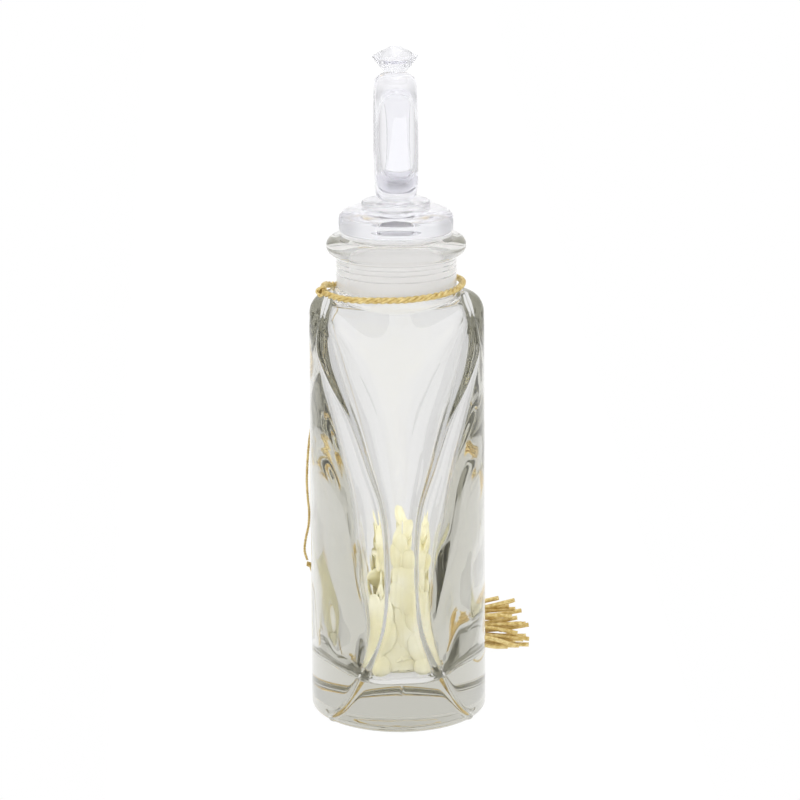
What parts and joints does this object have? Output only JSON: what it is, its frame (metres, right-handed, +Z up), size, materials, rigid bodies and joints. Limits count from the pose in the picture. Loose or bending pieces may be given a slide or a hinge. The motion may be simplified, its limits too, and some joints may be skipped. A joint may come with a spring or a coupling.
{
  "type": "aromatherapy bottle",
  "caption": "Flat oval glass scent bottle with waisted sides, a plug stopper with a clear finger ring and gem, a gold neck cord with a tassel, and scented petals inside.",
  "frame": {"origin": "centre of the foot, on the surface the bottle stands on", "axes": "+Z up the neck; X through the front and back panels, front towards -X; Y across the wide side, the waists facing -Y and +Y"},
  "size_m": [0.0568, 0.0849, 0.1611],
  "materials": {
    "bottle_glass": "clear pressed glass, polished, thick at the corners",
    "plug_plastic": "soft milky translucent plastic",
    "stopper_acrylic": "clear acrylic with a faint cool tint, polished",
    "gold_cord": "twisted gold rayon thread with a metallic sheen",
    "petal_wax": "pale yellow waxy petals, slightly translucent"
  },
  "bodies": {
    "bottle": {"glass_bottle": "bottle_glass", "neck_cord": "gold_cord", "cord_knot": "gold_cord", "hanging_thread": "gold_cord", "thread_knot": "gold_cord", "tassel_lead": "gold_cord", "tassel_head": "gold_cord", "tassel_binding": "gold_cord", "tassel_skirt": "gold_cord", "petal_00": "petal_wax", "petal_01": "petal_wax", "petal_02": "petal_wax", "petal_03": "petal_wax", "petal_04": "petal_wax", "petal_05": "petal_wax", "petal_06": "petal_wax", "petal_07": "petal_wax", "petal_08": "petal_wax", "petal_09": "petal_wax", "petal_10": "petal_wax", "petal_11": "petal_wax", "petal_12": "petal_wax", "petal_13": "petal_wax", "petal_14": "petal_wax", "petal_15": "petal_wax", "petal_16": "petal_wax", "petal_17": "petal_wax", "petal_18": "petal_wax", "petal_19": "petal_wax", "petal_20": "petal_wax", "petal_21": "petal_wax", "petal_22": "petal_wax", "petal_23": "petal_wax", "petal_24": "petal_wax", "petal_25": "petal_wax", "petal_26": "petal_wax"},
    "stopper": {"stopper_plug": "plug_plastic", "stopper_lower_disc": "stopper_acrylic", "stopper_upper_disc": "stopper_acrylic", "stopper_ring": "stopper_acrylic", "stopper_gem": "stopper_acrylic"}
  },
  "joints": [
    {"name": "stopper_lift", "type": "slide", "parent": "bottle", "child": "stopper", "axis": [0, 0, 1], "range_m": [0, 0.035]}
  ]
}
